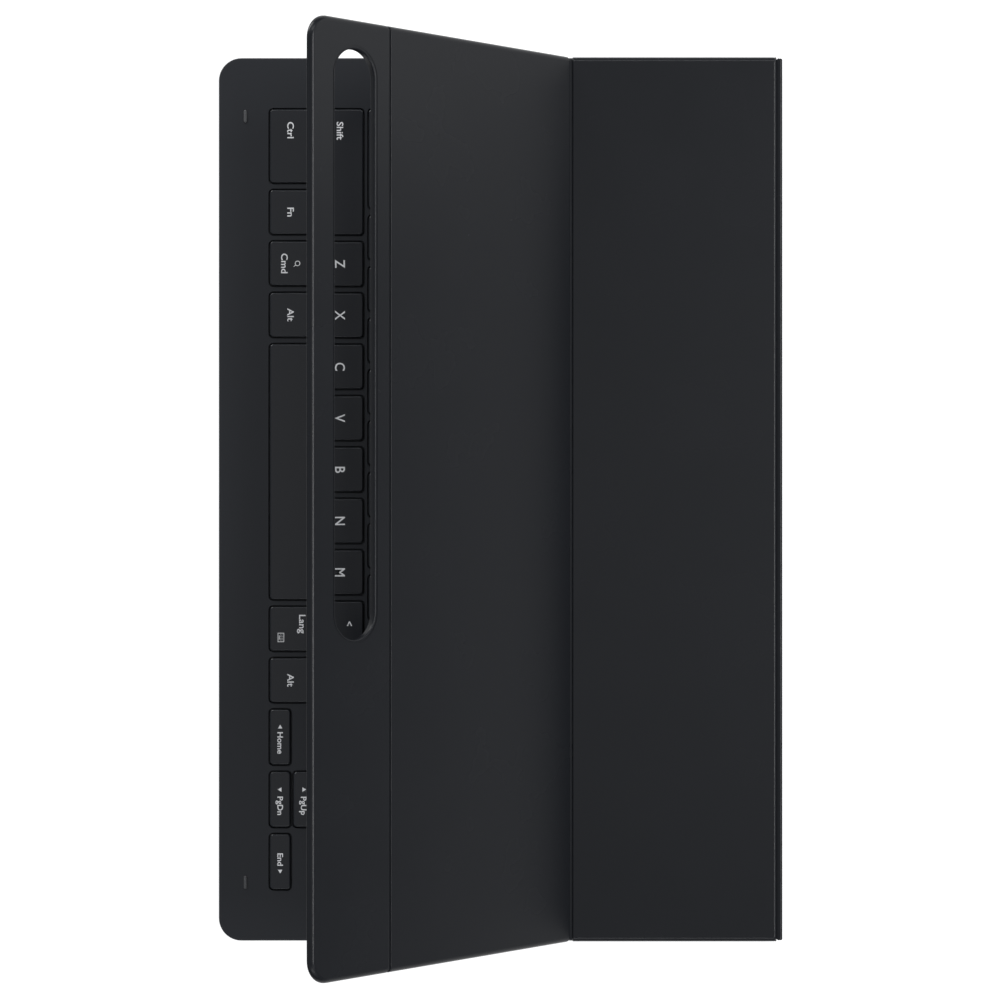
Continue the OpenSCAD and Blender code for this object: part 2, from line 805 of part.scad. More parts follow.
keycap(shift_keys[11]);  // key_shift_right
key_row(home_keys);  // home_row_keys
key_row(letter_keys);  // letter_row_keys
key_row(number_keys);  // number_row_keys
key_row(function_keys);  // function_row_keys
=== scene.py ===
# Looks of a folio keyboard case: the deck with its keys, the spine, and the cover in three panels
import json
import math
import bmesh
import bpy
from mathutils import Matrix, Vector


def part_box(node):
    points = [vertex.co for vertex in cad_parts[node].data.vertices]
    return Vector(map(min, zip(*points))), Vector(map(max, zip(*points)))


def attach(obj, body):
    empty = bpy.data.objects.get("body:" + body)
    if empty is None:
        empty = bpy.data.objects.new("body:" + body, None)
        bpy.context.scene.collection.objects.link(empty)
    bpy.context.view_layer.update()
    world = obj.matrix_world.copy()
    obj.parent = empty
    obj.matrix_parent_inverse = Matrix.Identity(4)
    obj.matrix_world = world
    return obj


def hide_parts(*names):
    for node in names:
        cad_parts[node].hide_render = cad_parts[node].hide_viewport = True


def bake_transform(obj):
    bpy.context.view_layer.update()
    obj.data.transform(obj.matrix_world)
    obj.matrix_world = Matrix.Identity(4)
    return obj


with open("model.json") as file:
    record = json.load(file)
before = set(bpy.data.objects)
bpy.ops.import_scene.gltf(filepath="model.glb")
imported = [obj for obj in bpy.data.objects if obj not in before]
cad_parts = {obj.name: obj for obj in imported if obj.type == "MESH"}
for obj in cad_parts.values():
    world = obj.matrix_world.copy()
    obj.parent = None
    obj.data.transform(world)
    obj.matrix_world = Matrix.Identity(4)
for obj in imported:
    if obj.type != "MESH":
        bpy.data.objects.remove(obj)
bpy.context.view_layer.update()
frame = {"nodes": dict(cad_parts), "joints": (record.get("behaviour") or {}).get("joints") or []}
mm = 0.001
tiny = 2e-6
joints = {joint["name"]: joint for joint in frame["joints"]}
midPivot = Vector(joints["mid_fold"]["pos_m"])
lift = (Matrix.Translation(midPivot)
        @ Matrix.Rotation(math.radians(joints["mid_fold"]["range_deg"][0]), 4, "X")
        @ Matrix.Translation(-midPivot))
flatBack = lift.inverted()
print("frame loaded:", len(frame["nodes"]), "nodes")


# Reading the frame

def boxOf(points):
    return (Vector([min(p[axis] for p in points) for axis in range(3)]),
            Vector([max(p[axis] for p in points) for axis in range(3)]))


def flatBox(node):
    # box of a lifted node as it lies when the cover is closed
    return boxOf([flatBack @ vertex.co for vertex in frame["nodes"][node].data.vertices])


def islandBoxes(node):
    # box of each separate solid of a node, from left to right
    mesh = bmesh.new()
    mesh.from_mesh(frame["nodes"][node].data)
    bmesh.ops.remove_doubles(mesh, verts=mesh.verts, dist=tiny)
    waiting, boxes = set(mesh.verts), []
    while waiting:
        island, edge = [], [waiting.pop()]
        while edge:
            vertex = edge.pop()
            island.append(vertex.co.copy())
            near = [link.other_vert(vertex) for link in vertex.link_edges]
            edge += [other for other in near if other in waiting]
            waiting.difference_update(near)
        boxes.append(boxOf(island))
    mesh.free()
    return sorted(boxes, key=lambda box: box[0].x)


# Shaping pieces

def onlyThis(piece):
    # operators act on all that is selected, so everything else is let go first
    bpy.ops.object.select_all(action="DESELECT")
    piece.select_set(True)
    bpy.context.view_layer.objects.active = piece


def pick(piece, kind, wanted):
    bpy.ops.mesh.select_mode(type=kind)
    bpy.ops.mesh.select_all(action="DESELECT")
    mesh = bmesh.from_edit_mesh(piece.data)
    for item in mesh.faces if kind == "FACE" else mesh.edges:
        item.select_set(wanted(item))
    bmesh.update_edit_mesh(piece.data)


def upright(edge):
    along = edge.verts[0].co - edge.verts[1].co
    return abs(along.x) < tiny and abs(along.y) < tiny


def lies(edge, axis, value):
    return all(abs(vertex.co[axis] - value) < tiny for vertex in edge.verts)


def middleOf(edge):
    return (edge.verts[0].co + edge.verts[1].co) / 2


def newBox(name, low, high):
    bpy.ops.object.select_all(action="DESELECT")
    low, high = Vector(low), Vector(high)
    bpy.ops.mesh.primitive_cube_add(size=1, location=(low + high) / 2, scale=high - low)
    piece = bpy.context.active_object
    piece.name = piece.data.name = name
    bpy.ops.object.transform_apply(location=True, rotation=True, scale=True)
    return piece


def bevelEdges(piece, wanted, width, steps):
    # an edge between two faces that are level with each other stays as it is
    onlyThis(piece)
    bpy.ops.object.mode_set(mode="EDIT")
    pick(piece, "EDGE", lambda edge: wanted(edge) and edge.calc_face_angle(0) > 0.3)
    bpy.ops.mesh.bevel(offset=width, segments=steps, profile=0.5, affect="EDGES")
    bpy.ops.mesh.select_all(action="SELECT")
    bpy.ops.mesh.remove_doubles(threshold=tiny)
    bpy.ops.object.mode_set(mode="OBJECT")


def roundCorners(piece, radius, steps, side=0):
    # side -1 rounds the two front corners, 1 the two rear ones, 0 all four
    middle = sum((vertex.co.y for vertex in piece.data.vertices)) / len(piece.data.vertices)
    bevelEdges(piece, lambda edge: upright(edge) and (middleOf(edge).y - middle) * side >= 0, radius, steps)


def cutAway(piece, cutter):
    onlyThis(piece)
    cut = piece.modifiers.new("cut", "BOOLEAN")
    cut.operation, cut.solver, cut.object = "DIFFERENCE", "EXACT", cutter
    bpy.ops.object.modifier_apply(modifier=cut.name)
    bpy.data.objects.remove(cutter)


def joinAll(name, parts):
    onlyThis(parts[0])
    for part in parts[1:]:
        part.select_set(True)
    if len(parts) > 1:
        bpy.ops.object.join()
    parts[0].name = parts[0].data.name = name
    return parts[0]


def mergeDoubles(piece, distance=tiny):
    onlyThis(piece)
    bpy.ops.object.mode_set(mode="EDIT")
    bpy.ops.mesh.select_all(action="SELECT")
    bpy.ops.mesh.remove_doubles(threshold=distance)
    bpy.ops.object.mode_set(mode="OBJECT")


def smoothFaces(piece, angle=35):
    mergeDoubles(piece)
    bpy.ops.object.shade_smooth_by_angle(angle=math.radians(angle))
    even = piece.modifiers.new("even", "WEIGHTED_NORMAL")
    even.keep_sharp, even.weight = True, 100
    bpy.ops.object.modifier_apply(modifier=even.name)


def liftUp(piece):
    piece.matrix_world = lift @ piece.matrix_world
    onlyThis(piece)
    bpy.ops.object.transform_apply(location=True, rotation=True, scale=True)


def dress(piece, material, body=None, nodes=()):
    piece.data.materials.clear()
    piece.data.materials.append(material)
    if nodes:
        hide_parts(*nodes)
    if body:
        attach(piece, body)


# Finishes

def newFinish(name, look):
    # one tone drifts into another, and a fine grain breaks up the surface
    material = bpy.data.materials.new(name)
    material.use_nodes = True
    nodes, links = material.node_tree.nodes, material.node_tree.links
    shader = nodes["Principled BSDF"]
    place = nodes.new("ShaderNodeTexCoord")
    stretch = nodes.new("ShaderNodeMapping")
    stretch.inputs["Scale"].default_value = look.get("stretch", (1, 1, 1))
    links.new(place.outputs["Object"], stretch.inputs["Vector"])
    drift = nodes.new("ShaderNodeTexNoise")
    drift.inputs["Scale"].default_value = look.get("driftScale", 35)
    drift.inputs["Detail"].default_value = 3
    links.new(stretch.outputs["Vector"], drift.inputs["Vector"])
    tone = nodes.new("ShaderNodeMix")
    tone.data_type = "RGBA"
    tone.inputs["A"].default_value = (*look["tone"], 1)
    tone.inputs["B"].default_value = (*look["secondTone"], 1)
    links.new(drift.outputs["Fac"], tone.inputs["Factor"])
    links.new(tone.outputs["Result"], shader.inputs["Base Color"])
    gloss = nodes.new("ShaderNodeMapRange")
    gloss.inputs["To Min"].default_value, gloss.inputs["To Max"].default_value = look["roughness"]
    links.new(drift.outputs["Fac"], gloss.inputs["Value"])
    links.new(gloss.outputs["Result"], shader.inputs["Roughness"])
    if look.get("grain") == "pebble":
        grain = nodes.new("ShaderNodeTexVoronoi")
        grain.feature = "SMOOTH_F1"
        height = grain.outputs["Distance"]
    else:
        grain = nodes.new("ShaderNodeTexNoise")
        grain.inputs["Detail"].default_value = 2
        height = grain.outputs["Fac"]
    grain.inputs["Scale"].default_value = look.get("grainScale", 3000)
    links.new(stretch.outputs["Vector"], grain.inputs["Vector"])
    bump = nodes.new("ShaderNodeBump")
    bump.inputs["Strength"].default_value = look.get("grainStrength", 0.3)
    bump.inputs["Distance"].default_value = look.get("grainDepth", 0.02) * mm
    links.new(height, bump.inputs["Height"])
    links.new(bump.outputs["Normal"], shader.inputs["Normal"])
    shader.inputs["Metallic"].default_value = look.get("metal", 0)
    shader.inputs["Specular IOR Level"].default_value = look.get("specular", 0.5)
    shader.inputs["Sheen Weight"].default_value = look.get("sheen", 0)
    shader.inputs["Sheen Roughness"].default_value = 0.4
    return material


finishes = {
    "coverSkin": {"tone": (0.0064, 0.0071, 0.0085), "secondTone": (0.0075, 0.0082, 0.0098), "roughness": (0.25, 0.29),
                  "grain": "pebble", "grainScale": 2600, "grainDepth": 0.02, "grainStrength": 0.15, "specular": 0.165},
    "foldSkin": {"tone": (0.0064, 0.0071, 0.0085), "secondTone": (0.0075, 0.0082, 0.0098), "roughness": (0.5, 0.6),
                 "grain": "pebble", "grainScale": 2600, "grainDepth": 0.02, "grainStrength": 0.2, "specular": 0.08},
    "softLining": {"tone": (0.020, 0.0205, 0.022), "secondTone": (0.027, 0.0275, 0.029), "roughness": (0.85, 0.95),
                   "stretch": (1, 3, 1), "grainScale": 2200, "grainDepth": 0.06, "grainStrength": 0.6, "sheen": 0.15,
                   "specular": 0.2},
    "deckPlastic": {"tone": (0.0118, 0.0132, 0.0160), "secondTone": (0.0132, 0.0146, 0.0176),
                    "roughness": (0.34, 0.40),
                    "grainScale": 4200, "grainDepth": 0.012, "grainStrength": 0.2, "specular": 0.28},
    "capPlastic": {"tone": (0.0115, 0.0128, 0.0156), "secondTone": (0.0129, 0.0142, 0.0172),
                   "roughness": (0.22, 0.27),
                   "grainScale": 5200, "grainDepth": 0.010, "grainStrength": 0.2, "specular": 0.26},
    "legendInk": {"tone": (0.68, 0.68, 0.68), "secondTone": (0.74, 0.74, 0.74), "roughness": (0.5, 0.6),
                  "grainScale": 6000, "grainDepth": 0.004},
    "nubRubber": {"tone": (0.045, 0.046, 0.048), "secondTone": (0.055, 0.056, 0.058), "roughness": (0.55, 0.65),
                  "grainScale": 3600},
    "blockPlastic": {"tone": (0.010, 0.010, 0.011), "secondTone": (0.013, 0.013, 0.014), "roughness": (0.3, 0.4),
                     "grainScale": 3600},
    "pinGold": {"tone": (0.80, 0.56, 0.20), "secondTone": (0.86, 0.63, 0.26), "roughness": (0.2, 0.3), "metal": 1,
                "grainScale": 2500},
    "brightSteel": {"tone": (0.52, 0.53, 0.55), "secondTone": (0.60, 0.61, 0.63),
                    "roughness": (0.28, 0.40), "metal": 1,
                    "stretch": (1, 20, 1), "grainScale": 700},
    "magnetNickel": {"tone": (0.42, 0.43, 0.44), "secondTone": (0.50, 0.50, 0.51),
                     "roughness": (0.25, 0.4), "metal": 1,
                     "grainScale": 1500},
    "darkFilm": {"tone": (0.010, 0.011, 0.012), "secondTone": (0.014, 0.015, 0.016), "roughness": (0.4, 0.5),
                 "grainScale": 1200},
    "domeRubber": {"tone": (0.30, 0.30, 0.28), "secondTone": (0.36, 0.36, 0.34), "roughness": (0.5, 0.6),
                   "grainScale": 2500},
    "leverPlastic": {"tone": (0.012, 0.012, 0.013), "secondTone": (0.016, 0.016, 0.017), "roughness": (0.5, 0.6),
                     "grainScale": 2500},
    "boardGreen": {"tone": (0.010, 0.085, 0.035), "secondTone": (0.016, 0.12, 0.05), "roughness": (0.3, 0.4),
                   "driftScale": 260, "grainScale": 1200},
    "copperFilm": {"tone": (0.50, 0.22, 0.06), "secondTone": (0.58, 0.27, 0.08), "roughness": (0.3, 0.4),
                   "stretch": (8, 1, 1), "grainScale": 500},
    "greyBoard": {"tone": (0.14, 0.13, 0.11), "secondTone": (0.18, 0.17, 0.14), "roughness": (0.8, 0.9),
                  "grainScale": 900, "grainDepth": 0.05, "grainStrength": 0.5},
}
finishes = {name: newFinish(name, look) for name, look in finishes.items()}
print("finishes ready:", len(finishes))


# The deck

deck = {"frontCorner": 8.4 * mm, "rearCorner": 1.2 * mm, "rim": 0.55 * mm, "seam": 0.08 * mm, "wall": 2 * mm,
        "floor": 0.8 * mm, "keyRoom": 0.45 * mm, "keyCorner": 1.75 * mm, "keyChamfer": 0.15 * mm,
        "grooveLength": 262 * mm, "grooveWidth": 7 * mm, "grooveCorner": 1.75 * mm, "grooveRim": 0.2 * mm,
        "grooveFloorRim": 0.15 * mm, "blockRoom": 0.1 * mm, "screwHead": 1.6 * mm, "soleRim": 0.45 * mm,
        "leastCorner": 0.4 * mm}
nub = {"room": 0.05 * mm, "rim": 0.3 * mm, "endShare": 0.49}
block = {"corner": 0.6 * mm, "rim": 0.15 * mm, "pinRoom": 0.05 * mm, "pinDrop": 0.75 * mm}
pinShape = {"collar": 0.4 * mm, "tip": 0.6 * mm, "round": 0.25 * mm}
over = 1 * mm
deckLow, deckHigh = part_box("bottom_skin")[0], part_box("top_case")[1]
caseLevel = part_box("bottom_cover")[1].z
blockLow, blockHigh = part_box("dock_block")

singleKeys = ["key_ctrl", "key_fn", "key_cmd", "key_alt_left", "key_space", "key_language", "key_alt_right",
              "key_left", "key_down", "key_right", "key_up", "key_shift_left", "key_z", "key_x", "key_c", "key_v",
              "key_b", "key_n", "key_m", "key_comma", "key_period", "key_slash", "key_shift_right"]
rowKeys = ["home_row_keys", "letter_row_keys", "number_row_keys", "function_row_keys"]
keyBoxes = {name: [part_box(name)] for name in singleKeys}
keyBoxes.update({name: islandBoxes(name) for name in rowKeys})


def deckSlab(name, bottom, top, inset=0):
    low = (deckLow.x + inset, deckLow.y + inset, bottom)
    high = (deckHigh.x - inset, deckHigh.y - inset, top)
    slab = newBox(name, low, high)
    roundCorners(slab, deck["frontCorner"] - inset, 12, -1)
    roundCorners(slab, max(deck["rearCorner"] - inset, deck["leastCorner"]), 5, 1)
    return slab


def flaredCutter(low, high, corner, rim, surface):
    # a hole's shape, opening out at the surface so that its edge is chamfered
    cutter = newBox("cutter", (low.x, low.y, low.z), (high.x, high.y, surface - rim))
    roundCorners(cutter, corner, 6)
    bpy.ops.object.mode_set(mode="EDIT")
    pick(cutter, "FACE", lambda face: face.normal.z > 0.9)
    rise = 3 * rim
    bpy.ops.mesh.extrude_region_move(TRANSFORM_OT_translate={"value": (0, 0, rise)})
    size = high - low
    bpy.ops.transform.resize(value=((size.x + 2 * rise) / size.x, (size.y + 2 * rise) / size.y, 1),
                             center_override=(low + high) / 2)
    bpy.ops.object.mode_set(mode="OBJECT")
    return cutter


deckTop = deckSlab("deck_top", caseLevel, deckHigh.z)
bevelEdges(deckTop, lambda edge: lies(edge, 2, deckHigh.z), deck["rim"], 4)
bevelEdges(deckTop, lambda edge: lies(edge, 2, caseLevel), deck["seam"], 1)
room = Vector((deck["keyRoom"], deck["keyRoom"], over))
for names in [[name for name in keyBoxes if name != "key_up"], ["key_up"]]:
    # the two half-depth arrow keys are so close that their openings' flares would cross
    openings = [flaredCutter(Vector((low.x, low.y, caseLevel)) - room, high + room, deck["keyCorner"],
                             deck["keyChamfer"], deckHigh.z)
                for name in names for low, high in keyBoxes[name]]
    cutAway(deckTop, joinAll("openings", openings))
dockY = (blockLow.y + blockHigh.y) / 2
groove = flaredCutter(Vector((-deck["grooveLength"] / 2, dockY - deck["grooveWidth"] / 2, blockHigh.z)),
                      Vector((deck["grooveLength"] / 2, dockY + deck["grooveWidth"] / 2, deckHigh.z)),
                      deck["grooveCorner"], deck["grooveRim"], deckHigh.z)
bevelEdges(groove, lambda edge: lies(edge, 2, blockHigh.z), deck["grooveFloorRim"], 2)
cutAway(deckTop, groove)
blockRoom = Vector((deck["blockRoom"], deck["blockRoom"], over))
cutAway(deckTop, newBox("cutter", blockLow - blockRoom, blockHigh + blockRoom))
nubBoxes = islandBoxes("screen_bumpers")
nubRoom = Vector((nub["room"], nub["room"], 0))
for low, high in nubBoxes:
    pocket = newBox("cutter", low - nubRoom, high + nubRoom)
    roundCorners(pocket, nub["endShare"] * pocket.dimensions.y, 5)
    cutAway(deckTop, pocket)
smoothFaces(deckTop)
dress(deckTop, finishes["deckPlastic"], "keyboard", ["top_case"])
print("deck top:", len(deckTop.data.polygons), "faces")

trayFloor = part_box("bottom_cover")[0].z
deckTray = deckSlab("deck_tray", trayFloor, caseLevel)
bevelEdges(deckTray, lambda edge: lies(edge, 2, caseLevel) or lies(edge, 2, trayFloor), deck["seam"], 1)
cutAway(deckTray, deckSlab("cutter", trayFloor + deck["floor"], caseLevel + over, deck["wall"]))
for low, high in islandBoxes("case_screws"):
    bpy.ops.object.select_all(action="DESELECT")
    bpy.ops.mesh.primitive_cylinder_add(vertices=24, radius=deck["screwHead"], depth=2 * over,
                                        location=((low.x + high.x) / 2, (low.y + high.y) / 2, trayFloor))
    cutAway(deckTray, bpy.context.active_object)
smoothFaces(deckTray)
dress(deckTray, finishes["deckPlastic"], "keyboard", ["bottom_cover"])

soleSkin = deckSlab("sole_skin", deckLow.z, trayFloor)
bevelEdges(soleSkin, lambda edge: lies(edge, 2, deckLow.z), deck["soleRim"], 4)
bevelEdges(soleSkin, lambda edge: lies(edge, 2, trayFloor), deck["seam"], 1)
smoothFaces(soleSkin)
dress(soleSkin, finishes["coverSkin"], "keyboard", ["bottom_skin"])

nubs = []
for low, high in nubBoxes:
    bar = newBox("nub", low, high)
    roundCorners(bar, nub["endShare"] * (high.y - low.y), 6)
    bevelEdges(bar, lambda edge: lies(edge, 2, high.z), nub["rim"], 4)
    nubs.append(bar)
screenNubs = joinAll("screen_nubs", nubs)
smoothFaces(screenNubs)
dress(screenNubs, finishes["nubRubber"], "keyboard", ["screen_bumpers"])

dockBlock = newBox("contact_block", blockLow, blockHigh)
bevelEdges(dockBlock, upright, block["corner"], 5)
bevelEdges(dockBlock, lambda edge: lies(edge, 2, blockHigh.z), block["rim"], 2)
for low, high in islandBoxes("contact_pins"):
    bpy.ops.object.select_all(action="DESELECT")
    middle = (low + high) / 2
    bpy.ops.mesh.primitive_cylinder_add(vertices=24, radius=(high.x - low.x) / 2 + block["pinRoom"],
                                        depth=blockHigh.z,
                                        location=(middle.x, middle.y, low.z + blockHigh.z / 2 - block["pinDrop"]))
    cutAway(dockBlock, bpy.context.active_object)
smoothFaces(dockBlock)
dress(dockBlock, finishes["blockPlastic"], "keyboard", ["dock_block"])

pins = []
for low, high in islandBoxes("contact_pins"):
    middle = (low + high) / 2
    bpy.ops.object.select_all(action="DESELECT")
    radius = (high.x - low.x) / 2
    bpy.ops.mesh.primitive_cylinder_add(vertices=24, radius=radius, depth=pinShape["collar"],
                                        location=(middle.x, middle.y, low.z + pinShape["collar"] / 2))
    pin = bpy.context.active_object
    bpy.ops.object.transform_apply(location=True, rotation=True, scale=True)
    bpy.ops.object.mode_set(mode="EDIT")
    pick(pin, "FACE", lambda face: face.normal.z > 0.9)
    bpy.ops.mesh.inset(thickness=radius - pinShape["tip"])
    bpy.ops.mesh.extrude_region_move(
        TRANSFORM_OT_translate={"value": (0, 0, high.z - low.z - pinShape["collar"])})
    bpy.ops.object.mode_set(mode="OBJECT")
    bevelEdges(pin, lambda edge: lies(edge, 2, high.z), pinShape["round"], 4)
    pins.append(pin)
contactPins = joinAll("spring_pins", pins)
smoothFaces(contactPins)
dress(contactPins, finishes["pinGold"], "contact_pins", ["contact_pins"])
print("deck ready")


# The keys

cap = {"corner": 1.3 * mm, "rim": 0.55 * mm, "skirt": 0.9 * mm, "roof": 0.6 * mm}
capModels = {}


def capModel(size):
    # each size of cap is modelled once, with the middle of its underside at the origin
    key = tuple(round(value / mm, 3) for value in size)
    if key not in capModels:
        half = Vector((size.x / 2, size.y / 2, 0))
        model = newBox("cap_model", -half, half + Vector((0, 0, size.z)))
        roundCorners(model, cap["corner"], 6)
        bevelEdges(model, lambda edge: lies(edge, 2, size.z), cap["rim"], 4)
        bpy.ops.object.mode_set(mode="EDIT")
        pick(model, "FACE", lambda face: face.normal.z < -0.9)
        bpy.ops.mesh.inset(thickness=cap["skirt"])
        bpy.ops.mesh.extrude_region_move(TRANSFORM_OT_translate={"value": (0, 0, size.z - cap["roof"])})
        bpy.ops.object.mode_set(mode="OBJECT")
        smoothFaces(model)
        capModels[key] = model
    return capModels[key]


def capCopy(low, high):
    copy = capModel(high - low).copy()
    copy.data = copy.data.copy()
    copy.data.transform(Matrix.Translation(((low.x + high.x) / 2, (low.y + high.y) / 2, low.z)))
    bpy.context.scene.collection.objects.link(copy)
    return copy


capNames = {name: name.replace("key_", "cap_") if name in singleKeys else name.replace("_keys", "_caps")
            for name in keyBoxes}
for name, boxes in keyBoxes.items():
    caps = joinAll(capNames[name], [capCopy(low, high) for low, high in boxes])
    dress(caps, finishes["capPlastic"], name, [name])
for model in capModels.values():
    bpy.data.objects.remove(model)
print("keycaps ready:", len(keyBoxes))


# The printing on the keys

ink = {"height": 0.02 * mm, "letter": 3.6 * mm, "word": 2.35 * mm, "small": 2 * mm, "pair": 2.6 * mm,
       "bold": 0.05 * mm, "edge": 4.6 * mm, "drop": 0.5 * mm, "arrow": 0.95 * mm, "letterWidth": 0.9,
       "wordWidth": 1.12, "pairRise": 3 * mm}
searchSign = {"radius": 1 * mm, "line": 0.26 * mm, "handleHalf": 0.12 * mm, "handleNear": 0.85 * mm,
              "handleFar": 1.9 * mm, "turn": 40}
boardSign = {"width": 3.4 * mm, "depth": 2.4 * mm, "line": 0.22 * mm, "columns": (-0.9, -0.3, 0.3, 0.9),
             "rows": (0.42, -0.1), "dotHalf": (0.13, 0.12)}


def textMark(words, height, across=0, along=0, align="CENTER"):
    bpy.ops.object.select_all(action="DESELECT")
    bpy.ops.object.text_add()
    mark = bpy.context.active_object
    mark.data.body, mark.data.align_x = words, align
    mark.data.size = height / capShare
    mark.data.offset, mark.data.extrude, mark.data.resolution_u = ink["bold"], ink["height"], 3
    bpy.ops.object.convert(target="MESH")
    mark = bpy.context.active_object
    mergeDoubles(mark)
    width = ink["letterWidth"] if len(words) == 1 else ink["wordWidth"]
    mark.data.transform(Matrix.Translation((across, along - height / 2, 0)) @ Matrix.Diagonal((width, 1, 1, 1)))
    return mark


def arrowMark(across, along, turn, size):
    bpy.ops.object.select_all(action="DESELECT")
    bpy.ops.mesh.primitive_cylinder_add(vertices=3, radius=size, depth=2 * ink["height"],
                                        rotation=(0, 0, math.radians(turn)))
    bpy.ops.object.transform_apply(location=True, rotation=True, scale=True)
    mark = bpy.context.active_object
    mark.data.transform(Matrix.Translation((across, along, 0)))
    return mark


def barMark(low, high):
    return newBox("mark", (*low, -ink["height"]), (*high, ink["height"]))


def ringMark(across, along, radius, line):
    bpy.ops.object.select_all(action="DESELECT")
    bpy.ops.mesh.primitive_cylinder_add(vertices=28, radius=radius, depth=2 * ink["height"])
    ring = bpy.context.active_object
    bpy.ops.mesh.primitive_cylinder_add(vertices=28, radius=radius - line, depth=4 * ink["height"])
    cutAway(ring, bpy.context.active_object)
    ring.data.transform(Matrix.Translation((across, along, 0)))
    return ring


def searchMark(across, along):
    half = searchSign["handleHalf"]
    handle = barMark((-half, -searchSign["handleFar"]), (half, -searchSign["handleNear"]))
    turn = Matrix.Rotation(math.radians(searchSign["turn"]), 4, "Z")
    handle.data.transform(Matrix.Translation((across, along, 0)) @ turn)
    return [ringMark(across, along, searchSign["radius"], searchSign["line"]), handle]


def boardMark(across, along):
    right, rear, line = boardSign["width"] / 2, boardSign["depth"] / 2, boardSign["line"]
    outline = barMark((-right, -rear), (right, rear))
    cutAway(outline, newBox("cutter", (line - right, line - rear, -over), (right - line, rear - line, over)))
    dotX, dotY = boardSign["dotHalf"]
    dots = [barMark(((x - dotX) * mm, (y - dotY) * mm), ((x + dotX) * mm, (y + dotY) * mm))
            for y in boardSign["rows"] for x in boardSign["columns"]]
    marks = [outline, *dots, barMark((-0.75 * mm, -0.75 * mm), (0.75 * mm, -0.5 * mm))]
    for mark in marks:
        mark.data.transform(Matrix.Translation((across, along, 0)))
    return marks


def printOn(name, body, marksOnKeys):
    # marks are drawn round the origin, then laid on the middle of their key's top
    laid = []
    for (low, high), marks in marksOnKeys:
        top = Matrix.Translation(((low.x + high.x) / 2, (low.y + high.y) / 2, high.z))
        for mark in marks:
            mark.data.transform(top)
            laid.append(mark)
    legend = joinAll(name, laid)
    dress(legend, finishes["legendInk"], body)


def wordAtEdge(box, words, side=-1):
    half = (box[1].x - box[0].x) / 2
    return textMark(words, ink["word"], side * (half - ink["edge"]), -ink["drop"], "LEFT" if side < 0 else "RIGHT")


def pairMark(lower, upper):
    return [textMark(lower, ink["pair"], 0, -ink["pairRise"]), textMark(upper, ink["pair"], 0, ink["pairRise"])]


bpy.ops.object.text_add()
sample = bpy.context.active_object
sample.data.body = "H"
bpy.context.view_layer.update()
capShare = sample.dimensions.y / sample.data.size
bpy.data.objects.remove(sample)

keyMarks = {
    "key_ctrl": lambda box: [wordAtEdge(box, "Ctrl")],
    "key_fn": lambda box: [textMark("Fn", ink["word"], 0, -ink["drop"])],
    "key_cmd": lambda box: [textMark("Cmd", ink["word"], 0, -2.8 * mm), *searchMark(0, 2.1 * mm)],
    "key_alt_left": lambda box: [textMark("Alt", ink["word"], 0, -ink["drop"])],
    "key_language": lambda box: [textMark("Lang", ink["word"], -1.9 * mm, 3.9 * mm), *boardMark(3.2 * mm, -4.1 * mm)],
    "key_alt_right": lambda box: [textMark("Alt", ink["word"], 0, -ink["drop"])],
    "key_left": lambda box: [arrowMark(-3.7 * mm, 0, 90, ink["arrow"]), textMark("Home", ink["small"], 2.1 * mm)],
    "key_down": lambda box: [arrowMark(-3.7 * mm, 0, 180, ink["arrow"]), textMark("PgDn", ink["small"], 2.3 * mm)],
    "key_up": lambda box: [arrowMark(-3.7 * mm, 0, 0, ink["arrow"]), textMark("PgUp", ink["small"], 2.3 * mm)],
    "key_right": lambda box: [arrowMark(3.4 * mm, 0, -90, ink["arrow"]), textMark("End", ink["small"], -0.9 * mm)],
    "key_shift_left": lambda box: [wordAtEdge(box, "Shift")],
    "key_shift_right": lambda box: [wordAtEdge(box, "Shift", 1)],
    "key_comma": lambda box: pairMark(",", "<"),
    "key_period": lambda box: pairMark(".", ">"),
    "key_slash": lambda box: pairMark("/", "?"),
}
for letter in "zxcvbnm":
    keyMarks["key_" + letter] = lambda box, letter=letter: [textMark(letter.upper(), ink["letter"], 0, -ink["drop"])]
for name, marks in keyMarks.items():
    box = keyBoxes[name][0]
    printOn(name.replace("key_", "legend_"), name, [(box, marks(box))])

rowMarks = {
    "home_row_keys": ["Caps", *"ASDFGHJKL", ";:", "'\"", "Enter"],
    "letter_row_keys": ["Tab", *"QWERTYUIOP", "[{", "]}", "\\|"],
    "number_row_keys": ["`~", "1!", "2@", "3#", "4$", "5%", "6^", "7&", "8*", "9(", "0)", "-_", "=+", "Back"],
    "function_row_keys": ["Esc", *["F" + str(number) for number in range(1, 13)], "Ins", "Del"],
}


def rowMark(row, place, count, box, words):
    if row == "function_row_keys":
        return [textMark(words, ink["small"])]
    if len(words) == 1:
        return [textMark(words, ink["letter"], 0, -ink["drop"])]
    if len(words) == 2:
        return pairMark(*words)
    return [wordAtEdge(box, words, 1 if place == count - 1 else -1)]


for row, words in rowMarks.items():
    marked = [(box, rowMark(row, place, len(words), box, word))
              for place, (box, word) in enumerate(zip(keyBoxes[row], words))]
    printOn(row.replace("_keys", "_legends"), row, marked)
print("legends ready")


# The cover's panels

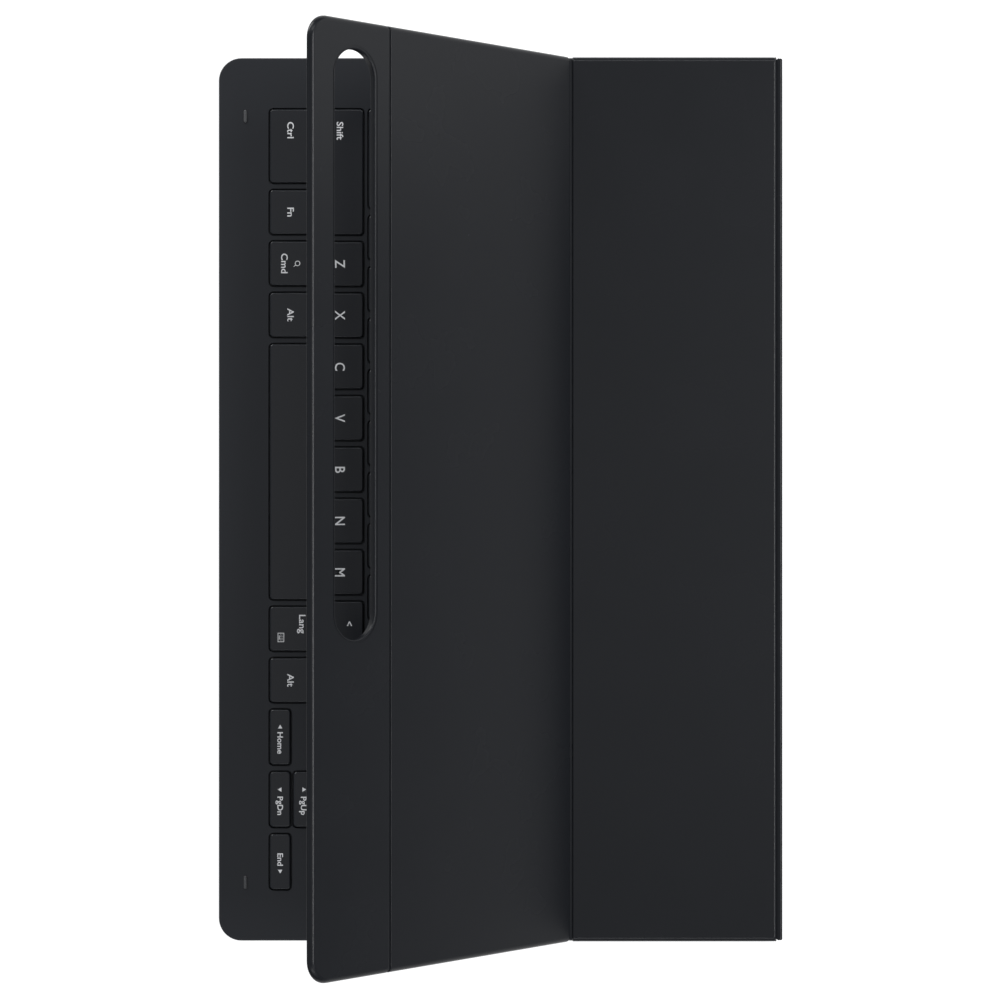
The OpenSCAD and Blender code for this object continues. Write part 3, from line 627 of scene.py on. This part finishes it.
panel = {"edge": 2 * mm, "edgeSteps": 8, "fold": 0.35 * mm, "rear": 1.2 * mm, "hem": 2 * mm, "foldHem": 0.5 * mm,
         "boardInset": 1.1 * mm, "board": 1 * mm, "inner": 0.15 * mm, "corner": 8.4 * mm,
         "liningGap": 0.1 * mm, "slotHem": 1.2 * mm}
slot = {"rim": 0.55 * mm, "pressStart": 0.7 * mm, "pressEnd": 1.25 * mm, "pressDepth": 0.14 * mm, "near": 0.05 * mm}
flapPoints = [flatBack @ vertex.co for vertex in frame["nodes"]["flap_lining"].data.vertices]
flapLow, flapHigh = boxOf(flapPoints)
margin = 9 * mm  # more than a corner's radius, less than the slot's distance from the sides
slotLow, slotHigh = boxOf([point for point in flapPoints
                           if flapLow.x + margin < point.x < flapHigh.x - margin
                           and flapLow.y + margin < point.y < flapHigh.y - over])


def fromSlot(edge):
    # how far outside the slot's outline an edge's middle lies
    half = (slotHigh.y - slotLow.y) / 2
    middle = middleOf(edge)
    alongAxis = min(max(middle.x, slotLow.x + half), slotHigh.x - half)
    return math.hypot(middle.x - alongAxis, middle.y - slotLow.y - half) - half


def stadium(bottom, top, grow=0):
    # a round-ended bar where the slot is, grown by a margin
    bar = newBox("cutter", (slotLow.x - grow, slotLow.y - grow, bottom), (slotHigh.x + grow, slotHigh.y + grow, top))
    roundCorners(bar, 0.4999 * (slotHigh.y - slotLow.y + 2 * grow), 20)
    mergeDoubles(bar, 5 * tiny)
    return bar


def panelSlab(name, low, high, freeCorner, inset=(0, 0, 0)):
    # inset is at the sides, the front and the rear
    side, front, rear = inset
    slab = newBox(name, (low.x + side, low.y + front, low.z), (high.x - side, high.y - rear, high.z))
    if freeCorner:
        roundCorners(slab, freeCorner - side, 14, -1)
    return slab


def makePanel(name, skinNode, liningNode, nodeBox, ends, isFree=False):
    # ends are the kinds of the front and the rear end: "edge", "rear" or "fold"
    lining, skin = nodeBox(liningNode), nodeBox(skinNode)
    low, high = lining[0], skin[1]
    boardLevel = skin[0].z
    piece = panelSlab(name, low, high, panel["corner"] if isFree else 0)
    foldLevels = [level for kind, level in zip(ends, (low.y, high.y)) if kind != "edge"]
    onFold = lambda edge: any(lies(edge, 1, level) for level in foldLevels)
    bevelEdges(piece, lambda edge: lies(edge, 2, high.z) and not onFold(edge),
               panel["edge"], panel["edgeSteps"])
    for kind, level in zip(ends, (low.y, high.y)):
        if kind != "edge":
            bevelEdges(piece, lambda edge: lies(edge, 1, level) and middleOf(edge).z > high.z - panel["edge"] + tiny,
                       panel[kind], 5)
    if isFree:
        cutAway(piece, stadium(low.z - over, high.z + over))
        pressed = stadium(high.z - slot["pressDepth"], high.z + over, slot["pressEnd"])
        cutAway(pressed, stadium(low.z, high.z + 2 * over, slot["pressStart"]))
        cutAway(piece, pressed)
        mergeDoubles(piece)
        bevelEdges(piece, lambda edge: lies(edge, 2, high.z) and abs(fromSlot(edge)) < slot["near"],
                   slot["rim"], 4)
    bevelEdges(piece, lambda edge: lies(edge, 2, low.z), panel["inner"], 2)
    hems = [panel["hem"] if kind == "edge" else panel["foldHem"] for kind in ends]
    liningRecess = panelSlab("cutter", Vector((low.x, low.y, low.z - over)), Vector((high.x, high.y, boardLevel)),
                             panel["corner"] if isFree else 0, (panel["hem"], *hems))
    boardRecess = panelSlab("cutter", Vector((low.x, low.y, boardLevel - tiny)),
                            Vector((high.x, high.y, boardLevel + panel["board"])),
                            panel["corner"] if isFree else 0, (panel["boardInset"],) * 3)
    if isFree:
        cutAway(liningRecess, stadium(low.z - 2 * over, high.z + over, panel["slotHem"]))
        cutAway(boardRecess, stadium(low.z - 2 * over, high.z + over, panel["boardInset"]))
    cutAway(piece, liningRecess)
    cutAway(piece, boardRecess)
    smoothFaces(piece)
    gap = panel["liningGap"]
    soft = panelSlab(name + "_lining", Vector((low.x, low.y, low.z)), Vector((high.x, high.y, boardLevel)),
                     panel["corner"] if isFree else 0, (panel["hem"] + gap, *[hem + gap for hem in hems]))
    if isFree:
        cutAway(soft, stadium(low.z - over, high.z + over, panel["slotHem"] + gap))
    bevelEdges(soft, lambda edge: lies(edge, 2, low.z), panel["inner"], 3)
    smoothFaces(soft)
    return piece, soft


panels = {
    "leg": makePanel("leg_panel", "leg_skin", "leg_lining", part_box, ("fold", "rear")),
    "main_panel": makePanel("main_cover_panel", "main_skin", "main_lining", flatBox, ("fold", "fold")),
    "camera_flap": makePanel("flap_panel", "flap_skin", "flap_lining", flatBox, ("edge", "fold"), True),
}
stoodFor = {"leg": ("leg_skin", "leg_lining"), "main_panel": ("main_skin", "main_lining"),
            "camera_flap": ("flap_skin", "flap_lining")}
for body, (skin, soft) in panels.items():
    if body != "leg":
        liftUp(skin)
        liftUp(soft)
    dress(skin, finishes["coverSkin"], body, [stoodFor[body][0]])
    dress(soft, finishes["softLining"], body, [stoodFor[body][1]])
print("panels ready")


# The folds: bent strips of the same skin that follow both panels

fold = {"thick": 0.3 * mm, "tuck": 0.7 * mm, "inset": 1.2 * mm, "bendRadius": 0.75 * mm, "flapDrop": 0.15 * mm,
        "steps": 8, "reach": 0.7 * mm}
foldSide = flatBox("main_skin")[1].x - fold["inset"]


def extrudeEnd(piece, wanted, step, times):
    bpy.ops.object.mode_set(mode="EDIT")
    pick(piece, "FACE", wanted)
    for _ in range(times):
        bpy.ops.mesh.extrude_region_move(TRANSFORM_OT_translate={"value": step / times})
    bpy.ops.object.mode_set(mode="OBJECT")


def spinEnd(piece, wanted, centre, turn):
    # a positive turn goes from +Z towards +Y
    bpy.ops.object.mode_set(mode="EDIT")
    pick(piece, "FACE", wanted)
    bpy.ops.mesh.spin(steps=fold["steps"], angle=turn, center=centre, axis=(1, 0, 0))
    bpy.ops.object.mode_set(mode="OBJECT")


def closeUp(piece):
    onlyThis(piece)
    bpy.ops.object.mode_set(mode="EDIT")
    bpy.ops.mesh.select_all(action="SELECT")
    bpy.ops.mesh.remove_doubles(threshold=tiny)
    bpy.ops.mesh.normals_make_consistent(inside=False)
    bpy.ops.object.mode_set(mode="OBJECT")
    bpy.ops.object.shade_smooth_by_angle(angle=math.radians(40))


liftAngle = -math.radians(joints["mid_fold"]["range_deg"][0])
upLeg = Vector((0, -math.cos(liftAngle), math.sin(liftAngle)))
arm = fold["bendRadius"] * math.tan(liftAngle / 2)
legFront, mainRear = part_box("leg_skin")[0].y, flatBox("main_skin")[1].y
midStrip = newBox("mid_fold_skin", (-foldSide, midPivot.y + arm, midPivot.z - fold["thick"]),
                  (foldSide, legFront + fold["tuck"], midPivot.z))
spinEnd(midStrip, lambda face: face.normal.y < -0.9,
        (0, midPivot.y + arm, midPivot.z + fold["bendRadius"]), liftAngle)
extrudeEnd(midStrip, lambda face: face.normal.dot(upLeg) > 0.99,
           upLeg * (midPivot.y - mainRear + fold["tuck"] - arm), 3)
closeUp(midStrip)
dress(midStrip, finishes["foldSkin"], None, ["mid_fold_web"])
reach = fold["reach"]
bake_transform(midStrip)

flapPivot = flatBack @ Vector(joints["flap_fold"]["pos_m"])
flapRear, mainFront = flatBox("flap_skin")[1].y, flatBox("main_skin")[0].y
flapStrip = newBox("flap_fold_skin",
                   (-foldSide, flapRear - fold["tuck"], flapPivot.z - fold["flapDrop"] - fold["thick"]),
                   (foldSide, flapPivot.y - reach / 2, flapPivot.z - fold["flapDrop"]))
extrudeEnd(flapStrip, lambda face: face.normal.y > 0.9, Vector((0, reach, 0)), fold["steps"])
extrudeEnd(flapStrip, lambda face: face.normal.y > 0.9,
           Vector((0, mainFront - flapPivot.y - reach / 2 + fold["tuck"], 0)), 1)
closeUp(flapStrip)
liftUp(flapStrip)
dress(flapStrip, finishes["coverSkin"], None, ["flap_fold_web"])
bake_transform(flapStrip)

spine = {"wrap": 0.5 * mm, "rim": 0.35 * mm, "tuck": 0.8 * mm, "legTuck": 0.35 * mm, "legTurn": 116, "deckTurn": 90,
         "wrapInset": 0.6 * mm, "liningRim": 0.15 * mm}
coreLow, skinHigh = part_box("spine_core")[0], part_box("spine_skin")[1]
spineBand = newBox("spine_band", coreLow, skinHigh)
bevelEdges(spineBand, lambda edge: not lies(edge, 1, coreLow.y), spine["rim"], 4)
smoothFaces(spineBand)
dress(spineBand, finishes["coverSkin"], "spine", ["spine_core", "spine_skin"])
liningLow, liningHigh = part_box("spine_lining")
spineLining = newBox("spine_inner_lining", liningLow, liningHigh)
bevelEdges(spineLining, lambda edge: lies(edge, 1, liningLow.y), spine["liningRim"], 2)
smoothFaces(spineLining)
dress(spineLining, finishes["softLining"], "spine", ["spine_lining"])


def wrapStrip(name, pivot, spineEnd, armEnd, turn):
    # skin from inside the spine's end, over the hinge line, and down into the panel beside it
    outer = skinHigh.y
    side = 1 if spineEnd < pivot.z else -1
    inset = spine["wrapInset"]
    strip = newBox(name, (coreLow.x + inset, outer - spine["wrap"], min(spineEnd, pivot.z)),
                   (skinHigh.x - inset, outer, max(spineEnd, pivot.z)))
    spinEnd(strip, lambda face: face.normal.z * side > 0.9, (0, pivot.y, pivot.z), -side * math.radians(turn))
    heading = Vector((0, -math.sin(math.radians(turn)), side * math.cos(math.radians(turn))))
    length = (armEnd - pivot.y - (outer - pivot.y) * math.cos(math.radians(turn))) / heading.y
    extrudeEnd(strip, lambda face: face.normal.dot(heading) > 0.999, heading * length, 3)
    closeUp(strip)
    return strip


deckPivot, legPivot = Vector(joints["deck_fold"]["pos_m"]), Vector(joints["cover_fold"]["pos_m"])
upperWrap = wrapStrip("leg_fold_skin", legPivot, skinHigh.z - spine["tuck"],
                      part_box("leg_skin")[1].y - spine["legTuck"], spine["legTurn"])
dress(upperWrap, finishes["coverSkin"], None, ["leg_hinge_web"])
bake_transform(upperWrap)
lowerWrap = wrapStrip("deck_fold_skin", deckPivot, coreLow.z + spine["tuck"],
                      deckHigh.y - spine["tuck"], spine["deckTurn"])
dress(lowerWrap, finishes["coverSkin"], None, ["deck_hinge_web"])
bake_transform(lowerWrap)
print("folds ready")


# Hidden parts keep their shape and get their finish

innerFinishes = {
    "support_plate": "brightSteel", "stabiliser_bars": "brightSteel", "case_screws": "brightSteel",
    "membrane_sheet": "darkFilm", "rubber_domes": "domeRubber", "scissor_levers": "leverPlastic",
    "controller_board": "boardGreen", "ribbon_cable": "copperFilm", "dock_magnets": "magnetNickel",
    "main_magnets": "magnetNickel", "flap_magnets": "magnetNickel", "leg_board": "greyBoard",
    "main_board": "greyBoard", "flap_board": "greyBoard",
}
for node, finishName in innerFinishes.items():
    mesh = frame["nodes"][node].data
    mesh.materials.clear()
    mesh.materials.append(finishes[finishName])


# Studio

studio = {"cameraHeight": 1.04, "lens": 100, "aside": (0.24 * mm, 1.4 * mm), "floorSize": 12}
cameraData = bpy.data.cameras.new("camera")
cameraData.lens, cameraData.sensor_width = studio["lens"], 36
camera = bpy.data.objects.new("camera", cameraData)
camera.location = (*studio["aside"], studio["cameraHeight"])
camera.rotation_euler = (0, 0, math.radians(90))
bpy.context.scene.collection.objects.link(camera)
bpy.context.scene.camera = camera

bpy.ops.object.select_all(action="DESELECT")
bpy.ops.mesh.primitive_plane_add(size=studio["floorSize"], location=(0, 0, deckLow.z - 0.05 * mm))
floor = bpy.context.active_object
floor.name = "studio_floor"
paper = bpy.data.materials.new("glowingFloor")
paper.use_nodes = True
paperShader = paper.node_tree.nodes["Principled BSDF"]
paperShader.inputs["Base Color"].default_value = (0.25, 0.25, 0.25, 1)
paperShader.inputs["Roughness"].default_value = 0.9
paperShader.inputs["Specular IOR Level"].default_value = 0.1
# the floor glows white on top of its own grey, as a painted pool of light that is brightest round the object
paperShader.inputs["Emission Color"].default_value = (1, 1, 1, 1)
place = paper.node_tree.nodes.new("ShaderNodeTexCoord")
distance = paper.node_tree.nodes.new("ShaderNodeVectorMath")
distance.operation = "LENGTH"
# painted pool of light: the glow falls from 0.88 within 0.3 m of the floor's middle to 0.4 beyond 1.1 m
paintedLightPool = paper.node_tree.nodes.new("ShaderNodeMapRange")
paintedLightPool.interpolation_type = "SMOOTHSTEP"
for name, value in {"From Min": 0.3, "From Max": 1.1, "To Min": 0.88, "To Max": 0.4}.items():
    paintedLightPool.inputs[name].default_value = value
paper.node_tree.links.new(place.outputs["Object"], distance.inputs[0])
paper.node_tree.links.new(distance.outputs["Value"], paintedLightPool.inputs["Value"])
paper.node_tree.links.new(paintedLightPool.outputs["Result"], paperShader.inputs["Emission Strength"])
floor.data.materials.append(paper)

world = bpy.data.worlds.new("studio")
bpy.context.scene.world = world
world.use_nodes = True
nodes, links = world.node_tree.nodes, world.node_tree.links
background = nodes["Background"]
direction = nodes.new("ShaderNodeTexCoord")
parts = nodes.new("ShaderNodeSeparateXYZ")
ring = nodes.new("ShaderNodeValToRGB")
links.new(direction.outputs["Generated"], parts.inputs["Vector"])
links.new(parts.outputs["Z"], ring.inputs["Fac"])
links.new(ring.outputs["Color"], background.inputs["Color"])
sky = {"tint": (0.94, 0.98, 1.06), "strength": 1, "levels": [(0, 0.15), (0.2, 0.2), (0.45, 0.6), (0.75, 0.7),
                                                           (0.88, 0.35), (0.95, 0.15), (1, 0.1)]}
ends = {0: ring.color_ramp.elements[0], 1: ring.color_ramp.elements[1]}
for position, level in sky["levels"]:
    element = ends[position] if position in ends else ring.color_ramp.elements.new(position)
    element.color = (*[level * part for part in sky["tint"]], 1)
background.inputs["Strength"].default_value = sky["strength"]

lamps = {
    "overheadStrip": {"place": (-0.08, 0.74, 1.06), "size": (1, 0.30), "power": 12.5},
    "frontBox": {"place": (-1.3, -0.9, 0.35), "size": (0.9, 0.5), "power": 17},
    "rearCard": {"place": (-0.45, 0.65, 0.25), "size": (0.6, 0.45), "power": 1.3},
    "leftStrip": {"place": (-0.95, 0.1, 0.95), "size": (0.9, 0.2), "power": 3.5},
    "rightStrip": {"place": (0.95, 0.1, 0.95), "size": (0.9, 0.2), "power": 3},
}
for name, lamp in lamps.items():
    light = bpy.data.lights.new(name, "AREA")
    light.shape, light.energy = "RECTANGLE", lamp["power"]
    light.size, light.size_y = lamp["size"]
    holder = bpy.data.objects.new(name, light)
    holder.location = lamp["place"]
    holder.rotation_euler = (-Vector(lamp["place"])).to_track_quat("-Z", "Y").to_euler()
    holder.visible_camera = False
    bpy.context.scene.collection.objects.link(holder)
bpy.context.scene.view_settings.view_transform = "Standard"
print("studio ready")
